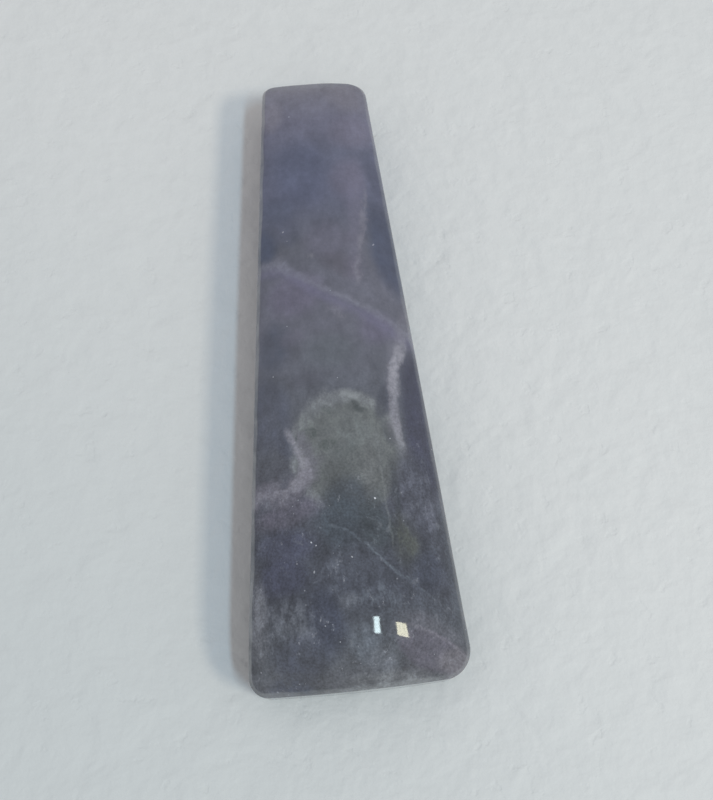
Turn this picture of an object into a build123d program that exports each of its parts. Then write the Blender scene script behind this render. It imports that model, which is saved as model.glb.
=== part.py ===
"""Tapered massage stone, one solid bar of polished purple-grey stone.

The bar lies flat on its back. Seen from above it is a long trapezoid with
rounded corners, and its ends aren't quite square to its length, as on a piece
that was ground by hand. The top is a long dome like the top of a barrel. Its
crest is highest near the wide end, stands a little left of the middle, and
falls away at both ends, where the dome also gets flatter across. A narrow
bevel runs round the top rim, and a smaller one round the flat underside.

Frame: +Z up, +Y along the bar towards the narrow end, +X to the right.
The origin is under the middle of the bar, on the surface that it lies on.
"""

import os
from math import radians, sqrt, tan

from build123d import *

os.makedirs("parts", exist_ok=True)

# Outline, in millimetres and degrees
length = 90.0  # between the middles of the two ends, before they are bowed
wide_width = 29.9  # between the side lines, at the wide end
narrow_width = 15.3  # between the side lines, at the narrow end
wide_skew = 1.1  # how far the wide end is turned from square
narrow_skew = -1.35  # how far the narrow end is turned from square
wide_bow = 0.3  # how far the middle of the wide end stands out
narrow_bow = 0.1  # how far the middle of the narrow end stands out
wide_left_radius = 2.6  # the four corners, each ground by hand
wide_right_radius = 3.9
narrow_right_radius = 3.3
narrow_left_radius = 2.0

# Dome: the crest between the two places where it starts to fall, and its two falls
crest_offset = -1.05  # the crest stands left of the middle
wide_crest = 13.8  # height of the crest where the fall to the wide end starts
narrow_crest = 10.6  # height of the crest where the fall to the narrow end starts
wide_fall_length = 10.0  # the stretches at the ends over which the crest falls
narrow_fall_length = 5.5
wide_fall = 4.9  # how far the crest falls by each end
narrow_fall = 2.3

# Dome: the radius of its cross-section along the middle, and where it is flatter
barrel_radius = 20.0
wide_tip_radius = 34.0
narrow_tip_radius = 60.0

# Edges
rim_bevel = 0.6
base_bevel = 0.5

# Corners of the outline, before they are rounded
half_length = length / 2
wide_lean = wide_width / 2 * tan(radians(wide_skew))
narrow_lean = narrow_width / 2 * tan(radians(narrow_skew))
wide_left = (-wide_width / 2, -half_length - wide_lean)
wide_right = (wide_width / 2, -half_length + wide_lean)
narrow_right = (narrow_width / 2, half_length + narrow_lean)
narrow_left = (-narrow_width / 2, half_length - narrow_lean)
corner_radii = [
    (wide_left, wide_left_radius),
    (wide_right, wide_right_radius),
    (narrow_right, narrow_right_radius),
    (narrow_left, narrow_left_radius),
]

# The block that is trimmed to the dome, and the dome's own walls, clear of the outline
overrun = 1.5
dome_half_width = wide_width / 2 + overrun
dome_foot = -4.0
blank_height = wide_crest + overrun

# Places along the bar where the dome's cross-section is drawn. They are close enough
# together that the dome doesn't ripple between them.
wide_break = -half_length + wide_fall_length
narrow_break = half_length - narrow_fall_length
wide_fall_steps = 5
middle_steps = 24
narrow_fall_steps = 4


def dome_section(y):
    """Height of the crest and radius of the cross-section at a place along the bar."""
    slope = (narrow_crest - wide_crest) / (narrow_break - wide_break)
    crest = wide_crest + slope * (y - wide_break)
    into_wide_fall = max(0.0, wide_break - y) / wide_fall_length
    into_narrow_fall = max(0.0, y - narrow_break) / narrow_fall_length
    crest -= wide_fall * into_wide_fall**2 + narrow_fall * into_narrow_fall**2
    radius = barrel_radius
    radius += (wide_tip_radius - barrel_radius) * into_wide_fall**2
    radius += (narrow_tip_radius - barrel_radius) * into_narrow_fall**2
    return crest, radius


def edge_height(crest, radius, x):
    """Height of the dome at a place across it."""
    return crest - radius + sqrt(radius**2 - (x - crest_offset) ** 2)


def evenly(start, end, steps):
    """Places from start up to but not including end, evenly spaced."""
    return [start + (end - start) * step / steps for step in range(steps)]


places = evenly(-half_length - overrun, wide_break, wide_fall_steps)
places += evenly(wide_break, narrow_break, middle_steps)
places += evenly(narrow_break, half_length + overrun, narrow_fall_steps)
places += [half_length + overrun]

with BuildPart() as stone:
    # The dome, through cross-sections from the wide end to the narrow end.
    # Plane.XZ looks along +Y, so its offset is negative.
    for y in places:
        crest, radius = dome_section(y)
        left_foot = (-dome_half_width, dome_foot)
        left_edge = (-dome_half_width, edge_height(crest, radius, -dome_half_width))
        right_edge = (dome_half_width, edge_height(crest, radius, dome_half_width))
        right_foot = (dome_half_width, dome_foot)
        with BuildSketch(Plane.XZ.offset(-y)):
            with BuildLine():
                Polyline(left_edge, left_foot, right_foot, right_edge)
                ThreePointArc(left_edge, (crest_offset, crest), right_edge)
            make_face()
    loft()

    # The outline with its four rounded corners, which trims the dome
    with BuildSketch() as outline:
        with BuildLine():
            Line(wide_right, narrow_right)
            ThreePointArc(narrow_right, (0, half_length + narrow_bow), narrow_left)
            Line(narrow_left, wide_left)
            ThreePointArc(wide_left, (0, -half_length - wide_bow), wide_right)
        make_face()
        for corner, corner_radius in corner_radii:
            fillet(outline.vertices().sort_by_distance(corner)[0], corner_radius)
    extrude(amount=blank_height, mode=Mode.INTERSECT)

    # The bevels round the top rim and round the underside
    walls = stone.faces().filter_by(lambda face: abs(face.normal_at().Z) < 0.01)
    level_edges = walls.edges().filter_by(Axis.Z, reverse=True)
    chamfer(level_edges.filter_by(lambda edge: edge.center().Z > base_bevel), rim_bevel)
    underside = stone.faces().sort_by(Axis.Z)[0]
    chamfer(underside.edges(), base_bevel)

stone.part.label = "stone"
export_step(stone.part, "parts/stone.step")
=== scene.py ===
"""A tapered massage stone of polished purple-grey stone, lying on a pale floor."""

from math import cos, pi, radians, sin, sqrt, tan

import bmesh
import bpy
from mathutils import Matrix, Vector, noise


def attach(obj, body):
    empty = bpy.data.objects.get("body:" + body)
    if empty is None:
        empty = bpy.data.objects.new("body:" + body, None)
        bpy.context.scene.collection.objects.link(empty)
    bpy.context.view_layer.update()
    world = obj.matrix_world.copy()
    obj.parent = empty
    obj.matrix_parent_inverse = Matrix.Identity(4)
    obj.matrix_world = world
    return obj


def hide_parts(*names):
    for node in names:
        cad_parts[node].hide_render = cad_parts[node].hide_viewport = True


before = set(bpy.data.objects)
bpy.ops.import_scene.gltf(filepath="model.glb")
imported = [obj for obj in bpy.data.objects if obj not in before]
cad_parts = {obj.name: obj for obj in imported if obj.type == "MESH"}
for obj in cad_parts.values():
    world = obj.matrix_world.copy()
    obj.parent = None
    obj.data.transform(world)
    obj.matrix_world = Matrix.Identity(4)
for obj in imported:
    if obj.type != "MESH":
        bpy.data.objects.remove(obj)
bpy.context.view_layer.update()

# --- Massage stone --------------------------------------------------------------------
# One bar of natural stone, sawn to a long trapezoid, ground by hand to a low dome over a
# flat back, bevelled round its rim and its back, and polished until it shines. It is
# built as rings that follow the outline, from the middle of the back to the crest.

MM = 0.001
half_length = 45.0
wide_half_width = 14.95
narrow_half_width = 7.65
wide_skew = radians(1.1)
narrow_skew = radians(-1.35)
wide_bow = 0.3
narrow_bow = 0.1
corner_radii = [2.6, 3.9, 3.3, 2.0]
corner_steps = 14
wide_steps = 40
side_steps = 150
narrow_steps = 20

crest_offset = -1.05
wide_crest = 13.8
narrow_crest = 10.6
wide_fall_length = 10.3
narrow_fall_length = 5.5
wide_fall = 4.9
narrow_fall = 2.3
barrel_radius = 20.0
wide_tip_radius = 34.0
narrow_tip_radius = 60.0
rim_bevel = 0.6
rim_inset = 0.52
base_bevel = 0.5
polish_wave = 0.05
polish_wave_length = 11.0
edge_softness = 0.09
bevel_wander = 0.2
bevel_wander_length = 4.0
spine_start = -34.0
spine_end = 38.5


def dome_height(x, y):
    """Height of the dome in millimetres, with the slight waves of hand grinding."""
    wide_break = -half_length + wide_fall_length
    narrow_break = half_length - narrow_fall_length
    into_wide = max(0.0, wide_break - y) / wide_fall_length
    into_narrow = max(0.0, y - narrow_break) / narrow_fall_length
    slope = (narrow_crest - wide_crest) / (narrow_break - wide_break)
    crest = wide_crest + slope * (y - wide_break)
    crest -= wide_fall * into_wide**2 + narrow_fall * into_narrow**2
    radius = barrel_radius
    radius += (wide_tip_radius - barrel_radius) * into_wide**2
    radius += (narrow_tip_radius - barrel_radius) * into_narrow**2
    wave = polish_wave * (noise.noise(Vector((x, y, 60.0)) / polish_wave_length) - 0.3)
    return crest - radius + sqrt(radius**2 - (x - crest_offset) ** 2) + wave


# The outline runs anticlockwise from the wide end's left corner
wide_lean = wide_half_width * tan(wide_skew)
narrow_lean = narrow_half_width * tan(narrow_skew)
corners = [
    Vector((-wide_half_width, -half_length - wide_lean)),
    Vector((wide_half_width, -half_length + wide_lean)),
    Vector((narrow_half_width, half_length + narrow_lean)),
    Vector((-narrow_half_width, half_length - narrow_lean)),
]
arcs = []
for i, corner in enumerate(corners):
    before = (corners[i - 1] - corner).normalized()
    after = (corners[(i + 1) % 4] - corner).normalized()
    half_angle = before.angle(after) / 2
    radius = corner_radii[i]
    centre = corner + (before + after).normalized() * (radius / sin(half_angle))
    start = corner + before * (radius / tan(half_angle)) - centre
    end = corner + after * (radius / tan(half_angle)) - centre
    sideways = Vector((-start.y, start.x))
    turn = start.angle(end)
    angles = [turn * step / corner_steps for step in range(corner_steps + 1)]
    arcs.append([centre + start * cos(angle) + sideways * sin(angle) for angle in angles])

outline = []
sides = [(wide_steps, wide_bow), (side_steps, 0.0), (narrow_steps, narrow_bow), (side_steps, 0.0)]
for i, (steps, bow) in enumerate(sides):
    outline += arcs[i]
    start = arcs[i][-1]
    end = arcs[(i + 1) % 4][0]
    along = (end - start).normalized()
    outwards = Vector((along.y, -along.x))
    for step in range(1, steps):
        share = step / steps
        outline.append(start.lerp(end, share) + outwards * bow * (1 - (2 * share - 1) ** 2))
count = len(outline)
normals = []
for i in range(count):
    along = outline[(i + 1) % count] - outline[i - 1]
    normals.append(Vector((along.y, -along.x)).normalized())

# Left and right points across from each other share one point of the spine
wide_middle = corner_steps + wide_steps // 2
spine = []
for i in range(count):
    across = outline[(2 * wide_middle - i) % count]
    ys = [min(max(point.y, spine_start), spine_end) for point in (outline[i], across)]
    spine.append(Vector((crest_offset, sum(ys) / 2)))

# The rim's bevel was ground by hand, so its width wanders by about a tenth of a millimetre
rim_insets = []
for point in outline:
    wander = bevel_wander * noise.noise(Vector((*point, 20.0)) / bevel_wander_length)
    rim_insets.append(rim_inset + wander)

# How matt and how pale each bevel is made: the left one most, the wide end's less, the others least. The left
# bevel's extra paleness is painted light, where light shines through its thin edge
bevel_frost_and_light = []
for normal in normals:
    to_left = max(0.0, -normal.x)
    to_wide_end = max(0.0, -normal.y)
    bevel_frost_and_light.append(0.2 + 0.7 * to_left**2 + 0.3 * to_wide_end**2)

rings = []
edge_frost_and_light = []


def ring(place_of, on_bevel=False):
    """Add a ring. place_of gives each place in millimetres from its outline number."""
    rings.append([place_of(i) for i in range(count)])
    edge_frost_and_light.extend(bevel_frost_and_light if on_bevel else [0.0] * count)


def flat_ring(inset, height):
    """Add a level ring at a distance inside the outline."""
    def place_of(i):
        place = outline[i] - normals[i] * inset
        return (place.x, place.y, height)
    return place_of


# The flat back, out to its bevel
back_steps = 10
back_inset = base_bevel + edge_softness
for step in range(back_steps):
    share = step / back_steps
    ring(lambda i: (*spine[i].lerp(outline[i] - normals[i] * back_inset, share), 0.0))
ring(flat_ring(back_inset, 0.0))
ring(flat_ring(base_bevel - 0.6 * edge_softness, 0.4 * edge_softness), True)
ring(flat_ring(0.6 * edge_softness, base_bevel - 0.6 * edge_softness), True)
ring(flat_ring(0.0, base_bevel + edge_softness))

# The wall, up to the rim's bevel
wall_steps = 12
wall_foot = base_bevel + edge_softness
for step in range(1, wall_steps + 1):
    share = step / wall_steps

    def wall_place(i):
        point = outline[i]
        wall_top = dome_height(point.x, point.y) - rim_bevel - edge_softness
        return (point.x, point.y, wall_foot + (wall_top - wall_foot) * share)
    ring(wall_place)

# The rim's bevel
for share in (0.12, 0.5, 0.88):
    def bevel_place(i):
        point = outline[i]
        low = Vector((*point, dome_height(*point) - rim_bevel))
        inner = point - normals[i] * rim_insets[i]
        high = Vector((*inner, dome_height(*inner)))
        return tuple(low.lerp(high, share))
    ring(bevel_place, True)

# The dome, from inside the bevel to the spine
dome_steps = 34
for step in range(dome_steps + 1):
    share = 1 - step / dome_steps

    def dome_place(i):
        rim = outline[i] - normals[i] * (rim_insets[i] + edge_softness)
        place = spine[i].lerp(rim, share)
        return (*place, dome_height(*place))
    ring(dome_place)

verts = [tuple(MM * value for value in place) for places in rings for place in places]
faces = []
for row in range(len(rings) - 1):
    for i in range(count):
        j = (i + 1) % count
        low, high = row * count, (row + 1) * count
        faces.append((low + i, low + j, high + j, high + i))
mesh = bpy.data.meshes.new("polished_stone")
mesh.from_pydata(verts, [], faces)
# Share of the ground bevels per point: it sets their matt finish and their paleness, part of which is painted
# light
edge_attribute = mesh.attributes.new("ground_edge_and_light", "FLOAT", "POINT")
edge_attribute.data.foreach_set("value", edge_frost_and_light)
bm = bmesh.new()
bm.from_mesh(mesh)
bmesh.ops.remove_doubles(bm, verts=bm.verts, dist=2e-6)
bmesh.ops.dissolve_degenerate(bm, edges=bm.edges, dist=1e-7)
bmesh.ops.recalc_face_normals(bm, faces=bm.faces)
bm.to_mesh(mesh)
bm.free()
mesh.shade_smooth()
stone = bpy.data.objects.new("polished_stone", mesh)
bpy.context.scene.collection.objects.link(stone)


def linear(hex_colour):
    """An sRGB hex colour as linear red, green, blue and alpha."""
    shares = [int(hex_colour[i:i + 2], 16) / 255 for i in (0, 2, 4)]
    return [s / 12.92 if s <= 0.04045 else ((s + 0.055) / 1.055) ** 2.4 for s in shares] + [1.0]


def add(tree, kind, inputs={}, **settings):
    """Add a node with its settings, and fill its sockets with values or links."""
    node = tree.nodes.new(kind)
    for name, value in settings.items():
        setattr(node, name, value)
    for socket, value in inputs.items():
        if isinstance(value, bpy.types.NodeSocket):
            tree.links.new(value, node.inputs[socket])
        else:
            node.inputs[socket].default_value = value
    return node


# Polished banded stone, close to fluorite-bearing quartz: a grey-violet body with blue
# and green clouds, healed lilac veins and mineral specks, seen a little way into it
# through a wet-looking polish. The bevels are only ground, so they look matt and paler; part of their paleness
# is painted light through the thin edges.
material = bpy.data.materials.new("polished_violet_stone")
material.use_nodes = True
tree = material.node_tree
shader = tree.nodes["Principled BSDF"]

# Object coordinates in millimetres. Below the rim the pattern slants, so that bands
# cross the sides at an angle.
object_place = add(tree, "ShaderNodeTexCoord").outputs["Object"]
mm_place = add(tree, "ShaderNodeVectorMath", {0: object_place, 3: 1 / MM}, operation="SCALE").outputs[0]
mm_parts = add(tree, "ShaderNodeSeparateXYZ", {0: mm_place}).outputs
rim_height = 8.0
capped = add(tree, "ShaderNodeMath", {0: mm_parts["Z"], 1: rim_height}, operation="MINIMUM").outputs[0]
below_rim = add(tree, "ShaderNodeMath", {0: capped, 1: rim_height}, operation="SUBTRACT").outputs[0]
slant = add(tree, "ShaderNodeVectorMath", {0: (0.45, -0.6, 0.0), 3: below_rim}, operation="SCALE").outputs[0]
place = add(tree, "ShaderNodeVectorMath", {0: mm_place, 1: slant}, operation="ADD").outputs[0]

# Two drifts bend the pattern: clouds over 9 mm, ragged vein edges over 1.5 mm
drifts = {}
for name, size, reach, detail in [("clouds_and_reflections", 9.0, 2.6, 3.0), ("veins", 1.5, 0.75, 4.0)]:
    wobble = add(tree, "ShaderNodeTexNoise", {"Vector": place, "Scale": 1 / size, "Detail": detail})
    centred = add(tree, "ShaderNodeVectorMath", {0: wobble.outputs["Color"], 1: (0.5, 0.5, 0.5)},
                  operation="SUBTRACT").outputs[0]
    shift = add(tree, "ShaderNodeVectorMath", {0: centred, 3: reach}, operation="SCALE").outputs[0]
    drifts[name] = add(tree, "ShaderNodeVectorMath", {0: place, 1: shift}, operation="ADD").outputs[0]

# The body colour changes along the bar. Its paler narrow end, and the lighter last millimetres of the wide
# end, are painted reflection where the dome falls away
cloud_parts = add(tree, "ShaderNodeSeparateXYZ", {0: drifts["clouds_and_reflections"]}).outputs
ramp_reach = 46.0
along_bar = add(tree, "ShaderNodeMapRange", {"Value": cloud_parts["Y"], "From Min": -ramp_reach,
                "From Max": ramp_reach}).outputs[0]
body = add(tree, "ShaderNodeValToRGB", {0: along_bar})
body_and_end_reflection_colours = [
    (-45, "5c5f66"), (-40, "52575f"), (-33, "4b505c"), (-25, "4e535e"), (-19, "585b67"),
    (-12, "5c6069"), (-5, "5f636e"), (3, "666875"), (11, "686a78"), (17, "60636f"),
    (24, "61657a"), (31, "62667a"), (37, "6c6d80"), (43, "7b7b88"),
]
stops = body.color_ramp.elements
while len(stops) < len(body_and_end_reflection_colours):
    stops.new(0.5)
for stop, (y, hex_colour) in zip(stops, body_and_end_reflection_colours):
    stop.position = (y + ramp_reach) / (2 * ramp_reach)
    stop.color = linear(hex_colour)
colour = body.outputs[0]

# A crisp crystalline break-up, drawn out along the bar, for the clouds that need it
crystal_place = add(tree, "ShaderNodeMapping", {"Vector": drifts["veins"], "Rotation": (0, 0, radians(-9)),
                    "Scale": (1.0, 0.55, 1.0)}).outputs[0]
crystals = add(tree, "ShaderNodeTexNoise", {"Vector": crystal_place, "Scale": 1 / 1.9, "Detail": 10.0,
               "Roughness": 0.68}).outputs["Fac"]
crisp = add(tree, "ShaderNodeMapRange", {"Value": crystals, "From Min": 0.44, "From Max": 0.6},
            interpolation_type="SMOOTHSTEP").outputs[0]

# Clouds, with a few pale patches of painted reflection at the ends: x, y, half-width, half-length,
# turn in degrees, colour, amount, soft share of the edge, and how far the crystals break it up. Later ones lie
# over earlier ones.
clouds_and_reflections = [
    # narrow half and middle: blue and mauve
    (-3.0, 28.0, 6.0, 7.5, 0, "5a6078", 0.7, 0.65, 0.0),
    # painted reflection: pale at the narrow end's left corner, where the dome falls away
    (-6.6, 38.5, 2.6, 3.6, 0, "858390", 0.6, 0.65, 0.0),
    (5.0, 35.0, 4.5, 4.0, 0, "767487", 0.6, 0.65, 0.0),
    # painted reflection: pale at the narrow end's right, where the dome falls away
    (4.6, 41.0, 3.4, 3.4, 0, "7b7985", 0.5, 0.7, 0.0),
    (4.0, 26.5, 3.4, 5.0, -10, "706e82", 0.6, 0.65, 0.0),
    (8.2, 27.0, 2.6, 6.0, 10, "585c70", 0.7, 0.65, 0.0),
    (8.8, 15.5, 3.2, 10.0, 12, "4d5469", 0.9, 0.6, 0.1),
    (-9.0, 17.5, 3.0, 4.2, 0, "4e576e", 0.85, 0.65, 0.1),
    (-7.0, 22.5, 4.0, 3.0, 0, "5b6278", 0.6, 0.65, 0.0),
    (-5.4, 19.0, 2.6, 3.4, 20, "565b70", 0.5, 0.6, 0.3),
    (0.5, 17.0, 5.0, 4.5, 0, "69687a", 0.6, 0.65, 0.1),
    (2.0, 13.0, 4.0, 2.4, -25, "615f6c", 0.6, 0.65, 0.2),
    (-5.0, 8.8, 5.5, 4.2, 25, "706d82", 0.75, 0.65, 0.2),
    (6.0, 3.4, 3.6, 3.4, -30, "6d6b80", 0.7, 0.65, 0.0),
    (-8.5, 1.5, 3.2, 5.0, 0, "545b6c", 0.75, 0.65, 0.3),
    (-1.0, 0.0, 5.5, 3.6, 0, "60666f", 0.7, 0.65, 0.1),
    (-6.0, 2.6, 2.4, 1.6, 0, "6c6c7c", 0.6, 0.6, 0.3),
    (-10.0, -8.0, 4.2, 7.0, 0, "585d6d", 0.8, 0.5, 0.3),
    (-4.6, -4.2, 3.0, 1.6, 10, "5a5c68", 0.6, 0.6, 0.1),
    (12.0, -10.0, 4.4, 13.0, 4, "454859", 1.0, 0.4, 0.15),
    # the green cloud: its pale mossy border, its inside, and dark mineral near its top
    (0.4, -14.5, 8.3, 9.3, 0, "868b8f", 0.92, 0.14, 0.5),
    (0.9, -15.4, 7.4, 8.6, 0, "666b6d", 0.92, 0.18, 0.2),
    (-3.6, -9.8, 3.6, 2.0, 25, "767c7d", 0.6, 0.5, 0.7),
    (5.0, -11.0, 2.6, 3.6, 30, "72787a", 0.5, 0.5, 0.7),
    (-3.4, -7.2, 3.6, 1.7, 38, "878c92", 0.6, 0.7, 0.7),
    (0.2, -6.4, 3.0, 1.3, 0, "868b90", 0.4, 0.7, 0.8),
    (1.7, -7.9, 1.4, 1.1, -50, "474d51", 0.9, 0.6, 0.9),
    (2.9, -8.8, 1.3, 0.7, -20, "4b5155", 0.8, 0.6, 1.0),
    (-1.9, -8.1, 1.7, 0.7, -12, "4f5658", 0.9, 0.5, 1.0),
    (-4.6, -11.6, 2.6, 1.2, 20, "4c5355", 0.9, 0.5, 1.0),
    (-2.0, -13.4, 2.0, 1.2, 0, "4f5657", 0.8, 0.5, 1.0),
    (0.4, -14.2, 2.8, 1.8, 15, "51585b", 0.6, 0.6, 0.8),
    (1.8, -12.0, 3.4, 2.4, 0, "70777a", 0.6, 0.6, 0.7),
    (-0.8, -17.6, 4.2, 3.8, 0, "54595c", 0.8, 0.6, 0.5),
    (0.6, -21.6, 5.6, 4.4, 0, "4a515a", 0.95, 0.5, 0.15),
    (3.6, -17.4, 1.6, 5.0, -3, "666a6d", 0.8, 0.6, 0.3),
    (6.0, -7.6, 1.5, 3.9, -10, "4a4e5a", 0.9, 0.5, 0.3),
    (6.3, -12.6, 1.2, 2.6, 12, "50545e", 0.7, 0.6, 0.5),
    (-7.4, -13.0, 1.8, 3.0, 20, "4d5262", 0.7, 0.6, 0.2),
    (10.6, -17.6, 2.6, 4.6, 5, "454957", 0.7, 0.6, 0.2),
    (8.6, -21.5, 3.8, 7.6, 5, "4b4f5b", 0.95, 0.45, 0.2),
    (-1.0, -24.0, 5.0, 5.0, 0, "464f59", 0.9, 0.6, 0.2),
    (3.6, -25.0, 3.4, 4.6, 0, "434b52", 0.9, 0.6, 0.2),
    (8.0, -20.0, 1.6, 8.0, 4, "666a78", 0.6, 0.6, 0.8),
    (10.4, -22.0, 1.2, 7.0, 6, "6a6e7c", 0.6, 0.6, 1.0),
    (6.4, -20.5, 0.7, 6.0, 3, "40454d", 0.8, 0.6, 0.3),
    # wide half: navy between milky, granular clouds
    (-8.0, -22.4, 6.5, 2.4, 8, "676574", 0.75, 0.6, 0.3),
    (-10.6, -18.2, 2.8, 1.6, 8, "807f8b", 0.7, 0.7, 0.5),
    (-8.6, -26.6, 5.4, 3.4, 0, "505468", 0.7, 0.6, 0.1),
    (-9.5, -30.5, 4.5, 3.2, 0, "4a4e62", 0.8, 0.5, 0.2),
    (-4.0, -36.5, 3.2, 6.0, 10, "424858", 0.9, 0.6, 0.1),
    (-7.6, -26.4, 2.6, 1.8, 0, "4b4f62", 0.6, 0.6, 0.1),
    (8.0, -37.6, 2.0, 1.6, 0, "5b5e69", 0.6, 0.7, 0.2),
    (7.2, -27.0, 2.4, 5.0, 5, "54594f", 0.6, 0.6, 0.5),
    (9.8, -31.0, 2.6, 4.0, 10, "454b5a", 0.7, 0.6, 0.2),
    (-9.5, -37.0, 6.6, 5.4, 0, "757a84", 0.5, 0.6, 0.9),
    (-7.6, -40.6, 5.0, 3.6, 0, "4b505f", 0.8, 0.6, 0.4),
    (-13.6, -35.0, 2.6, 8.0, 5, "777a82", 0.8, 0.6, 0.4),
    (-2.6, -31.0, 2.2, 3.4, 0, "646a77", 0.6, 0.6, 1.0),
    (3.0, -34.5, 4.0, 3.0, 0, "68707b", 0.55, 0.6, 1.0),
    (-0.8, -34.4, 2.2, 1.5, 30, "7f8590", 0.5, 0.7, 0.5),
    (0.6, -39.5, 2.8, 3.2, 0, "6b737e", 0.7, 0.6, 0.3),
    (3.4, -41.6, 3.2, 2.4, 0, "6a6f78", 0.7, 0.6, 0.3),
    # painted reflection: the next two make the pale mauve sheen on the wide end's right corner, where the dome
    # falls away
    (9.6, -38.6, 6.4, 2.2, -24, "72737d", 0.5, 0.7, 0.2),
    (9.2, -41.2, 5.2, 2.7, -24, "62616d", 0.9, 0.24, 0.15),
    (8.0, -43.0, 3.2, 1.4, 0, "5a5a64", 0.6, 0.7, 0.3),
    # painted reflection on the right corner of the wide end
    (12.0, -42.4, 3.4, 2.4, 0, "737279", 0.7, 0.6, 0.0),
    (-9.0, -44.6, 4.5, 2.4, 0, "474d5b", 0.8, 0.6, 0.6),
    # painted reflection: a pale haze along the wide end, where the dome falls away
    (4.0, -44.8, 8.0, 2.2, 0, "7a7e83", 0.8, 0.6, 0.4),
    # bright knots of the veins, then single bright grains
    (0.5, 5.1, 1.2, 1.0, 0, "8e8d98", 0.7, 0.9, 0.8),
    (0.4, 6.4, 1.8, 1.2, 10, "7d7c8a", 0.5, 0.7, 0.5),
    (-1.8, 14.5, 0.9, 0.8, 0, "86868f", 0.7, 0.9, 0.8),
    (-6.0, 19.0, 0.18, 0.14, 0, "a6a8b2", 0.6, 0.3, 0.0),
    (6.8, 16.4, 0.14, 0.22, -40, "a6a8b2", 0.6, 0.3, 0.0),
    (3.6, -21.2, 0.15, 0.16, 0, "ccd0d8", 0.95, 0.3, 0.0),
    (-5.2, -26.4, 0.12, 0.13, 0, "c4c8d2", 0.9, 0.3, 0.0),
    (-4.6, -27.0, 0.13, 0.12, 0, "c4c8d2", 0.9, 0.3, 0.0),
    (-5.0, -30.3, 0.12, 0.16, 0, "b8bcc6", 0.8, 0.3, 0.0),
    (-0.1, -28.9, 0.16, 0.12, 0, "b4b8c2", 0.8, 0.3, 0.0),
    (5.6, -31.9, 0.16, 0.12, 0, "b4b8c2", 0.7, 0.3, 0.0),
]
cloud_height = 10.0
cloud_half_height = 14.0
for x, y, half_across, half_along, turn, hex_colour, amount, soft_edge, broken in clouds_and_reflections:
    drift = drifts["clouds_and_reflections"] if soft_edge > 0.3 else drifts["veins"]
    local = add(tree, "ShaderNodeMapping", {
        "Vector": drift, "Location": (x, y, cloud_height), "Rotation": (0, 0, radians(turn)),
        "Scale": (half_across, half_along, cloud_half_height)}, vector_type="TEXTURE").outputs[0]
    ball = add(tree, "ShaderNodeTexGradient", {0: local}, gradient_type="SPHERICAL").outputs["Fac"]
    share = add(tree, "ShaderNodeMapRange", {"Value": ball, "From Min": 0.0, "From Max": soft_edge,
                "To Max": amount}, interpolation_type="SMOOTHSTEP").outputs[0]
    if broken > 0:
        kept = add(tree, "ShaderNodeMapRange", {"Value": crisp, "To Min": 1 - broken}).outputs[0]
        share = add(tree, "ShaderNodeMath", {0: share, 1: kept}, operation="MULTIPLY").outputs[0]
    colour = add(tree, "ShaderNodeMix", {0: share, 6: colour, 7: linear(hex_colour)},
                 data_type="RGBA").outputs[2]

# Milky mottling, finer and stronger towards the wide end
mottle = add(tree, "ShaderNodeTexNoise", {"Vector": place, "Scale": 1 / 3.6, "Detail": 7.0,
             "Roughness": 0.6}).outputs["Fac"]
mottle_centred = add(tree, "ShaderNodeMath", {0: mottle, 1: 0.5}, operation="SUBTRACT").outputs[0]
crystal_centred = add(tree, "ShaderNodeMath", {0: crystals, 1: 0.5}, operation="SUBTRACT").outputs[0]
crystal_amount = add(tree, "ShaderNodeMapRange", {"Value": mm_parts["Y"], "From Min": -28.0,
                     "From Max": 4.0, "To Min": 1.9, "To Max": 0.6}).outputs[0]
mottle_light = add(tree, "ShaderNodeMath", {0: mottle_centred, 1: 0.7, 2: 1.0},
                   operation="MULTIPLY_ADD").outputs[0]
mottle_light = add(tree, "ShaderNodeMath", {0: crystal_centred, 1: crystal_amount, 2: mottle_light},
                   operation="MULTIPLY_ADD").outputs[0]
colour = add(tree, "ShaderNodeVectorMath", {0: colour, 3: mottle_light}, operation="SCALE").outputs[0]

# Fine bright threads of healed crazing, and jagged flakes of clear crystal in patches,
# both in the wide half
wide_share = add(tree, "ShaderNodeMapRange", {"Value": mm_parts["Y"], "From Min": -6.0,
                 "From Max": -28.0}).outputs[0]
crazing = add(tree, "ShaderNodeTexNoise", {
    "Vector": drifts["clouds_and_reflections"], "Scale": 1 / 5.0, "Detail": 5.0, "Roughness": 0.5, "Offset": 1.0,
    "Gain": 2.0, "Distortion": 0.4}, noise_type="RIDGED_MULTIFRACTAL").outputs["Fac"]
thread = add(tree, "ShaderNodeMapRange", {"Value": crazing, "From Min": 1.6, "From Max": 1.76,
             "To Max": 0.3}, interpolation_type="SMOOTHSTEP").outputs[0]
thread = add(tree, "ShaderNodeMath", {0: thread, 1: crisp}, operation="MULTIPLY").outputs[0]
patches = add(tree, "ShaderNodeMapRange", {"Value": mottle, "From Min": 0.5, "From Max": 0.62},
              interpolation_type="SMOOTHSTEP").outputs[0]
flake_place = add(tree, "ShaderNodeMapping", {"Vector": place, "Rotation": (0, 0, radians(-30)),
                  "Scale": (1.0, 0.6, 1.0)}).outputs[0]
flakes = add(tree, "ShaderNodeTexNoise", {"Vector": flake_place, "Scale": 1 / 0.7, "Detail": 8.0,
             "Roughness": 0.75}).outputs["Fac"]
flake = add(tree, "ShaderNodeMapRange", {"Value": flakes, "From Min": 0.57, "From Max": 0.68,
            "To Max": 0.8}, interpolation_type="SMOOTHSTEP").outputs[0]
flake = add(tree, "ShaderNodeMath", {0: flake, 1: patches}, operation="MULTIPLY").outputs[0]
for share, hex_colour in [(thread, "8a8f99"), (flake, "9ea2ac")]:
    share = add(tree, "ShaderNodeMath", {0: share, 1: wide_share}, operation="MULTIPLY").outputs[0]
    colour = add(tree, "ShaderNodeMix", {0: share, 6: colour, 7: linear(hex_colour)},
                 data_type="RGBA").outputs[2]

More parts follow.
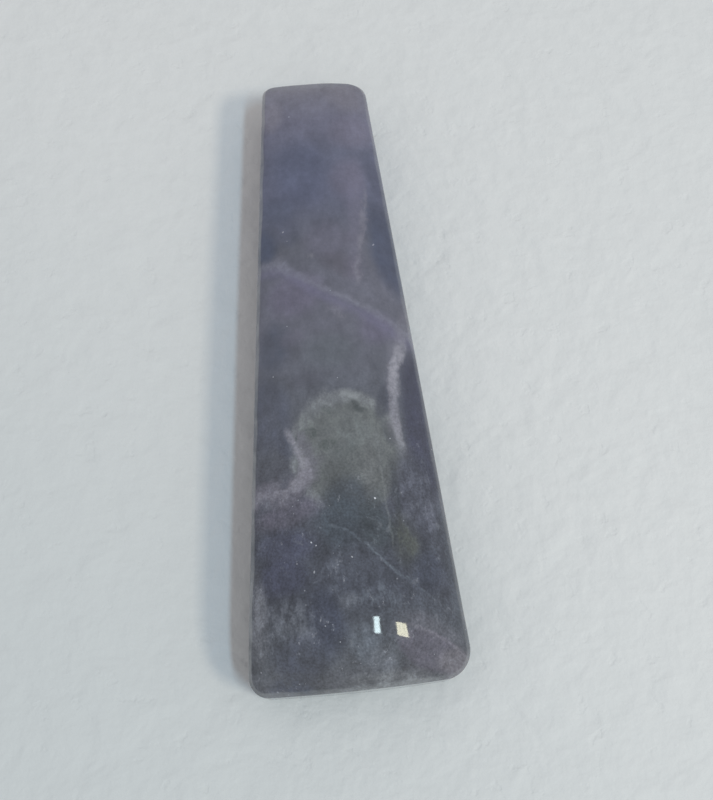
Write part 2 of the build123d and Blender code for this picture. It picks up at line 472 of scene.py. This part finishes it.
# Veins and zones that cross the stone. Each has stations along one axis, giving the
# other axis, its half-width and its strength, all in millimetres.
curve_frames = {}
vein_parts = add(tree, "ShaderNodeSeparateXYZ", {0: drifts["veins"]}).outputs
curve_reach = {"X": 18.0, "Y": 50.0}
widest_vein = 20.0
for axis, reach in curve_reach.items():
    curve_frames[axis] = add(tree, "ShaderNodeMapRange", {"Value": vein_parts[axis], "From Min": -reach,
                             "From Max": reach}).outputs[0]
veins = [
    # beaded lilac vein that comes down the narrow half
    ("Y", "767488", 1.0, 0.2, 2.0, [
        (34.0, 5.4, 1.2, 0.0), (28.0, 5.0, 2.0, 0.4), (22.0, 4.6, 2.2, 0.5), (16.0, 4.2, 2.0, 0.5),
        (12.0, 3.8, 1.8, 0.5), (9.0, 3.4, 1.0, 0.0)]),
    ("Y", "84838f", 1.0, 0.6, 4.0, [
        (27.0, 6.5, 0.5, 0.0), (23.0, 6.1, 0.8, 0.5), (21.0, 5.7, 0.8, 0.5), (18.5, 5.3, 0.7, 0.3),
        (16.5, 4.8, 0.8, 0.6), (15.0, 4.7, 0.7, 0.4), (12.8, 4.1, 0.9, 0.65), (11.0, 4.0, 0.9, 0.7),
        (9.5, 3.8, 0.6, 0.0)]),
    # light diagonal vein right across the bar: a mauve haze under a finer light line
    ("X", "72718a", 1.0, 0.0, 1.5, [
        (-10.5, 13.0, 1.6, 0.5), (-6.3, 12.6, 2.0, 0.6), (-3.6, 10.2, 1.8, 0.6), (0.0, 7.8, 1.7, 0.6),
        (3.0, 6.2, 1.8, 0.6), (6.4, 4.2, 1.8, 0.5), (9.8, 1.6, 2.0, 0.5)]),
    ("X", "828493", 1.0, 0.4, 3.0, [
        (-10.5, 14.1, 1.3, 0.5), (-8.8, 14.1, 1.4, 0.6), (-6.6, 13.7, 1.7, 0.7), (-4.1, 11.7, 1.1, 0.45),
        (0.0, 8.9, 0.8, 0.5), (3.0, 7.3, 1.0, 0.65), (5.4, 6.0, 1.0, 0.5), (8.0, 4.3, 1.1, 0.4),
        (9.8, 2.8, 1.6, 0.6)]),
    # white-lilac vein beside the green cloud: soft on its left, sharper on its right
    ("Y", "7c7c89", 1.0, 0.2, 2.0, [
        (7.0, 10.8, 1.2, 0.3), (2.5, 9.4, 1.8, 0.5), (-2.3, 7.6, 1.7, 0.5), (-7.0, 7.3, 1.3, 0.4),
        (-11.0, 7.2, 1.3, 0.4), (-14.0, 7.6, 1.0, 0.3), (-16.5, 8.3, 0.6, 0.0)]),
    ("Y", "a1a1ac", 0.7, 0.4, 1.5, [
        (4.0, 10.2, 0.7, 0.0), (1.5, 9.5, 1.1, 0.35), (-0.6, 8.7, 1.2, 0.6), (-2.3, 8.0, 1.2, 0.8),
        (-4.4, 7.7, 1.2, 0.75), (-6.6, 7.5, 1.1, 0.65), (-9.0, 7.3, 0.9, 0.45), (-11.2, 7.5, 0.8, 0.45),
        (-13.4, 7.9, 0.7, 0.4), (-15.2, 8.3, 0.5, 0.0)]),
    # feathery lilac vein on the left
    ("Y", "747480", 1.0, 0.2, 2.5, [
        (-9.6, -6.6, 0.8, 0.0), (-11.4, -6.0, 1.4, 0.5), (-14.6, -4.8, 1.9, 0.65), (-17.0, -4.4, 2.0, 0.7),
        (-19.0, -5.0, 1.8, 0.0)]),
    ("Y", "94949f", 0.7, 0.4, 2.5, [
        (-10.0, -7.5, 0.5, 0.0), (-11.4, -7.2, 0.8, 0.8), (-13.0, -6.6, 0.9, 0.8), (-14.6, -6.0, 1.0, 0.8),
        (-16.4, -5.2, 1.1, 0.75), (-17.8, -5.3, 1.1, 0.6), (-19.4, -6.0, 1.0, 0.0)]),
    ("X", "7b7a87", 1.0, 0.3, 2.5, [
        (-14.5, -20.4, 1.8, 0.6), (-12.0, -19.9, 2.2, 0.7), (-9.5, -19.6, 2.3, 0.8), (-7.0, -18.9, 2.4, 0.8),
        (-5.0, -17.8, 2.0, 0.6), (-3.2, -16.6, 1.2, 0.0)]),
    ("X", "8d8d98", 0.8, 0.5, 4.0, [
        (-14.5, -20.2, 0.8, 0.5), (-12.0, -19.6, 0.9, 0.6), (-9.5, -19.4, 1.0, 0.65), (-7.0, -18.6, 1.1, 0.75),
        (-5.6, -17.8, 1.0, 0.5), (-4.2, -17.0, 0.7, 0.0)]),
    # straight healed crack beside the green column
    ("Y", "767b7f", 0.9, 0.5, 0.5, [
        (-10.5, 4.4, 0.15, 0.0), (-13.0, 4.6, 0.25, 0.35), (-19.0, 4.9, 0.25, 0.4), (-26.0, 5.3, 0.25, 0.35),
        (-30.0, 5.5, 0.15, 0.0)]),
    # fracture towards the wide end
    ("X", "707a86", 1.0, 0.8, 4.0, [
        (-3.6, -24.2, 0.3, 0.0), (-2.2, -24.5, 0.5, 0.6), (-0.9, -25.0, 0.35, 0.4), (1.9, -27.2, 0.35, 0.5),
        (3.6, -28.9, 0.45, 0.7), (5.3, -30.8, 0.45, 0.6), (7.2, -32.2, 0.4, 0.45), (9.8, -34.4, 0.3, 0.2),
        (11.4, -35.6, 0.2, 0.0)]),
    ("X", "434852", 1.0, 0.6, 3.0, [
        (0.9, -27.4, 0.2, 0.0), (3.6, -29.8, 0.6, 0.5), (5.3, -31.8, 0.7, 0.6), (7.2, -33.2, 0.7, 0.6),
        (9.8, -35.3, 0.5, 0.5), (11.4, -36.4, 0.2, 0.0)]),
    # fine curved line along the top of the mauve corner
    ("X", "85848f", 1.0, 0.5, 1.5, [
        (5.4, -37.4, 0.3, 0.0), (7.0, -37.9, 0.4, 0.4), (8.8, -38.6, 0.4, 0.45), (10.6, -39.6, 0.45, 0.5),
        (12.8, -41.0, 0.5, 0.4), (14.5, -42.6, 0.3, 0.0)]),
]
grain = add(tree, "ShaderNodeTexNoise", {"Vector": place, "Scale": 1 / 0.8, "Detail": 5.0,
            "Roughness": 0.55}).outputs["Fac"]
for axis, hex_colour, softness, beading, feathering, stations in veins:
    side = "Y" if axis == "X" else "X"
    stations = sorted(stations)
    first, last = stations[0], stations[-1]
    stations = [(-curve_reach[axis], *first[1:]), *stations, (curve_reach[axis], *last[1:])]
    curves = []
    for column, span in [(1, curve_reach[side]), (2, widest_vein), (3, 1.0)]:
        curve = add(tree, "ShaderNodeFloatCurve", {"Value": curve_frames[axis]})
        points = curve.mapping.curves[0].points
        while len(points) < len(stations):
            points.new(0.5, 0.5)
        for point, station in zip(points, stations):
            low = -span if column == 1 else 0.0
            level = (station[column] - low) / (span - low)
            point.location = ((station[0] + curve_reach[axis]) / (2 * curve_reach[axis]), level)
        curve.mapping.extend = "HORIZONTAL"
        curve.mapping.update()
        curves.append(curve.outputs[0])
    offset = add(tree, "ShaderNodeMath", {0: curve_frames[side], 1: curves[0]},
                 operation="SUBTRACT").outputs[0]
    distance = add(tree, "ShaderNodeMath", {0: offset}, operation="ABSOLUTE").outputs[0]
    distance = add(tree, "ShaderNodeMath", {0: distance, 1: 2 * curve_reach[side] / widest_vein},
                   operation="MULTIPLY").outputs[0]
    share = add(tree, "ShaderNodeMath", {0: distance, 1: curves[1]}, operation="DIVIDE").outputs[0]
    share = add(tree, "ShaderNodeMath", {0: crystal_centred, 1: feathering, 2: share},
                operation="MULTIPLY_ADD").outputs[0]
    inside = add(tree, "ShaderNodeMapRange", {"Value": share, "From Min": 1.0, "From Max": 1.0 - softness},
                 interpolation_type="SMOOTHSTEP").outputs[0]
    beads = add(tree, "ShaderNodeMapRange", {"Value": grain, "From Min": 0.36, "From Max": 0.56,
                "To Min": 1.0 - beading, "To Max": 1.0}).outputs[0]
    strength = add(tree, "ShaderNodeMath", {0: curves[2], 1: beads}, operation="MULTIPLY").outputs[0]
    amount = add(tree, "ShaderNodeMath", {0: inside, 1: strength}, operation="MULTIPLY").outputs[0]
    colour = add(tree, "ShaderNodeMix", {0: amount, 6: colour, 7: linear(hex_colour)},
                 data_type="RGBA").outputs[2]

# Fine crystal grain over everything
grit = add(tree, "ShaderNodeTexNoise", {"Vector": place, "Scale": 1 / 0.3, "Detail": 2.0}).outputs["Fac"]
grit_centred = add(tree, "ShaderNodeMath", {0: grit, 1: 0.5}, operation="SUBTRACT").outputs[0]
grit_amount = add(tree, "ShaderNodeMapRange", {"Value": mm_parts["Y"], "From Min": -22.0, "From Max": 0.0,
                  "To Min": 1.1, "To Max": 0.22}).outputs[0]
grain_light = add(tree, "ShaderNodeMapRange", {"Value": grain, "From Min": 0.3, "From Max": 0.7,
                  "To Min": 0.95, "To Max": 1.05}).outputs[0]
grain_light = add(tree, "ShaderNodeMath", {0: grit_centred, 1: grit_amount, 2: grain_light},
                  operation="MULTIPLY_ADD").outputs[0]
colour = add(tree, "ShaderNodeVectorMath", {0: colour, 3: grain_light}, operation="SCALE").outputs[0]

# Pin-point mineral specks about 0.2 mm across, thick in a few patches of the wide half
cells = add(tree, "ShaderNodeTexVoronoi", {"Vector": place, "Scale": 1 / 0.8})
cell_lots = add(tree, "ShaderNodeSeparateColor", {0: cells.outputs["Color"]}).outputs
rarity = add(tree, "ShaderNodeMapRange", {"Value": mm_parts["Y"], "From Min": -20.0, "From Max": 5.0,
             "To Min": 0.95, "To Max": 0.985}).outputs[0]
patch_share = add(tree, "ShaderNodeMath", {0: patches, 1: wide_share}, operation="MULTIPLY").outputs[0]
rarity = add(tree, "ShaderNodeMath", {0: patch_share, 1: -0.12, 2: rarity},
             operation="MULTIPLY_ADD").outputs[0]
chosen = add(tree, "ShaderNodeMath", {0: cell_lots[0], 1: rarity}, operation="GREATER_THAN").outputs[0]
speck = add(tree, "ShaderNodeMapRange", {"Value": cells.outputs["Distance"], "From Min": 0.16,
            "From Max": 0.06}, interpolation_type="SMOOTHSTEP").outputs[0]
speck_light = add(tree, "ShaderNodeMapRange", {"Value": cell_lots[1], "To Min": 0.3}).outputs[0]
speck_amount = add(tree, "ShaderNodeMath", {0: speck, 1: chosen}, operation="MULTIPLY").outputs[0]
speck_amount = add(tree, "ShaderNodeMath", {0: speck_amount, 1: speck_light}, operation="MULTIPLY").outputs[0]
colour = add(tree, "ShaderNodeMix", {0: speck_amount, 6: colour, 7: linear("bcc0cb")},
             data_type="RGBA").outputs[2]

# Where a bevel is only ground it looks paler. Part of this paleness is painted light, most on the left bevel,
# where light shines through the thin edge
ground_edge_and_light = add(tree, "ShaderNodeAttribute", attribute_name="ground_edge_and_light").outputs["Fac"]
edge_pale = add(tree, "ShaderNodeMapRange", {"Value": mottle, "From Min": 0.38, "From Max": 0.62,
                "To Min": 0.16, "To Max": 0.55}).outputs[0]
edge_pale = add(tree, "ShaderNodeMath", {0: ground_edge_and_light, 1: edge_pale}, operation="MULTIPLY").outputs[0]
colour = add(tree, "ShaderNodeMix", {0: edge_pale, 6: colour, 7: linear("a3a5a8")},
             data_type="RGBA").outputs[2]
tree.links.new(colour, shader.inputs["Base Color"])

# The polish is a little uneven, in patches of 6 mm, and the ground bevels are matt
polish = add(tree, "ShaderNodeTexNoise", {"Vector": place, "Scale": 1 / 6.0, "Detail": 4.0}).outputs["Fac"]
polish_rough = add(tree, "ShaderNodeMapRange", {"Value": polish, "From Min": 0.3, "From Max": 0.7,
                   "To Min": 0.05, "To Max": 0.09}).outputs[0]
rough = add(tree, "ShaderNodeMath", {0: ground_edge_and_light, 1: 0.25, 2: polish_rough},
            operation="MULTIPLY_ADD").outputs[0]
tree.links.new(rough, shader.inputs["Roughness"])
shader.inputs["IOR"].default_value = 1.54
shader.inputs["Subsurface Weight"].default_value = 0.12
shader.inputs["Subsurface Radius"].default_value = (1.0, 0.9, 1.1)
shader.inputs["Subsurface Scale"].default_value = 0.3 * MM

# Faint ripples of the polishing wheel
ripple = add(tree, "ShaderNodeTexNoise", {"Vector": place, "Scale": 1 / 2.2, "Detail": 2.0}).outputs["Fac"]
bump = add(tree, "ShaderNodeBump", {"Height": ripple, "Strength": 0.35, "Distance": 0.02 * MM})
tree.links.new(bump.outputs[0], shader.inputs["Normal"])
mesh.materials.append(material)

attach(stone, "root")
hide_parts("stone")

# --- Floor, light and camera ---------------------------------------------------------
# A board rolled with pale matt paint, which leaves low lumps a few millimetres across and
# small shallow dents. Two soft lamps light it from the right, and the room fills in.
floor_reach = 2.0
floor_mesh = bpy.data.meshes.new("floor")
floor_mesh.from_pydata([
    (-floor_reach, -floor_reach, 0), (floor_reach, -floor_reach, 0),
    (floor_reach, floor_reach, 0), (-floor_reach, floor_reach, 0)], [], [(0, 1, 2, 3)])
floor = bpy.data.objects.new("floor", floor_mesh)
bpy.context.scene.collection.objects.link(floor)
floor_material = bpy.data.materials.new("painted_board")
floor_material.use_nodes = True
floor_tree = floor_material.node_tree
floor_shader = floor_tree.nodes["Principled BSDF"]
floor_place = add(floor_tree, "ShaderNodeTexCoord").outputs["Object"]
floor_noise = add(floor_tree, "ShaderNodeTexNoise", {"Vector": floor_place, "Scale": 1 / (2.6 * MM),
                  "Detail": 3.0, "Roughness": 0.55}).outputs["Fac"]
floor_tone = add(floor_tree, "ShaderNodeMix", {0: floor_noise, 6: (0.69, 0.712, 0.722, 1),
                 7: (0.75, 0.768, 0.778, 1)}, data_type="RGBA").outputs[2]
floor_parts = add(floor_tree, "ShaderNodeSeparateXYZ", {0: floor_place}).outputs
# Painted shade: the floor is darkened towards minus x and minus y, as by a broad soft shadow from out of sight
corner_way = add(floor_tree, "ShaderNodeMath", {0: floor_parts["X"], 1: floor_parts["Y"]},
                 operation="ADD").outputs[0]
painted_corner_shade = add(floor_tree, "ShaderNodeMapRange", {"Value": corner_way, "From Min": -0.1, "From Max": 0.03,
           "To Min": 1.0, "To Max": 0.0}, interpolation_type="SMOOTHSTEP").outputs[0]
floor_tone = add(floor_tree, "ShaderNodeMix", {0: painted_corner_shade, 6: floor_tone, 7: (0.62, 0.66, 0.675, 1)},
                 data_type="RGBA").outputs[2]
floor_tree.links.new(floor_tone, floor_shader.inputs["Base Color"])
floor_shader.inputs["Roughness"].default_value = 0.6
floor_lumps = add(floor_tree, "ShaderNodeTexNoise", {"Vector": floor_place, "Scale": 1 / (7.0 * MM),
                  "Detail": 2.0, "Roughness": 0.45, "Distortion": 0.6}).outputs["Fac"]
floor_dents = add(floor_tree, "ShaderNodeTexNoise", {"Vector": floor_place, "Scale": 1 / (3.2 * MM),
                  "Detail": 3.0, "Roughness": 0.5}).outputs["Fac"]
dent = add(floor_tree, "ShaderNodeMapRange", {"Value": floor_dents, "From Min": 0.6, "From Max": 0.72,
           "To Max": -0.2}, interpolation_type="SMOOTHSTEP").outputs[0]
floor_relief = add(floor_tree, "ShaderNodeMath", {0: floor_lumps, 1: 1.6, 2: dent},
                   operation="MULTIPLY_ADD").outputs[0]
floor_relief = add(floor_tree, "ShaderNodeMath", {0: floor_noise, 1: 0.8, 2: floor_relief},
                   operation="MULTIPLY_ADD").outputs[0]
floor_bump = add(floor_tree, "ShaderNodeBump", {"Height": floor_relief, "Strength": 0.9,
                 "Distance": 0.3 * MM})
floor_tree.links.new(floor_bump.outputs[0], floor_shader.inputs["Normal"])
floor_mesh.materials.append(floor_material)

world = bpy.data.worlds.new("room")
bpy.context.scene.world = world
world.use_nodes = True
room_light = world.node_tree.nodes["Background"]
room_light.inputs["Color"].default_value = (1.0, 0.965, 0.965, 1)
room_light.inputs["Strength"].default_value = 0.53
lamp_distance = 1.2


def lamp(name, direction, width, length, radiance, colour, mirrored=True):
    """A rectangular lamp that faces the stone, its long side along the bar."""
    data = bpy.data.lights.new(name, "AREA")
    data.shape = "RECTANGLE"
    data.size = width
    data.size_y = length
    data.energy = radiance * pi * width * length
    data.color = colour
    obj = bpy.data.objects.new(name, data)
    way = Vector(direction).normalized()
    across = Vector((0, 1, 0)).cross(way).normalized()
    turn = Matrix((across, way.cross(across), way)).transposed().to_4x4()
    obj.matrix_world = Matrix.Translation(way * lamp_distance) @ turn
    obj.visible_glossy = mirrored
    bpy.context.scene.collection.objects.link(obj)


# Each lamp has a panel that shows in the polish and a diffused part that doesn't
cool_way = (0.385, -0.38, 1.0)
warm_way = (0.82, -0.50, 1.0)
lamp("cool_lamp", cool_way, 0.085, 0.42, 18.5, (0.8, 0.99, 1.03))
lamp("cool_lamp_fill", cool_way, 0.085, 0.42, 15.5, (0.36, 0.72, 1.05), False)
lamp("warm_lamp", warm_way, 0.15, 0.29, 13.4, (1.0, 0.97, 0.72))
lamp("warm_lamp_fill", warm_way, 0.15, 0.29, 14.9, (1.0, 0.76, 0.61), False)

camera_data = bpy.data.cameras.new("camera")
camera_data.lens = 49.5
camera_data.sensor_width = 36.0
camera_data.clip_start = 0.01
camera = bpy.data.objects.new("camera", camera_data)
camera.location = (-1.32 * MM, -50.87 * MM, 154.85 * MM)
camera.rotation_euler = (radians(17.0), 0.0, radians(-4.78))
bpy.context.scene.collection.objects.link(camera)
bpy.context.scene.camera = camera
bpy.context.scene.view_settings.view_transform = "Standard"
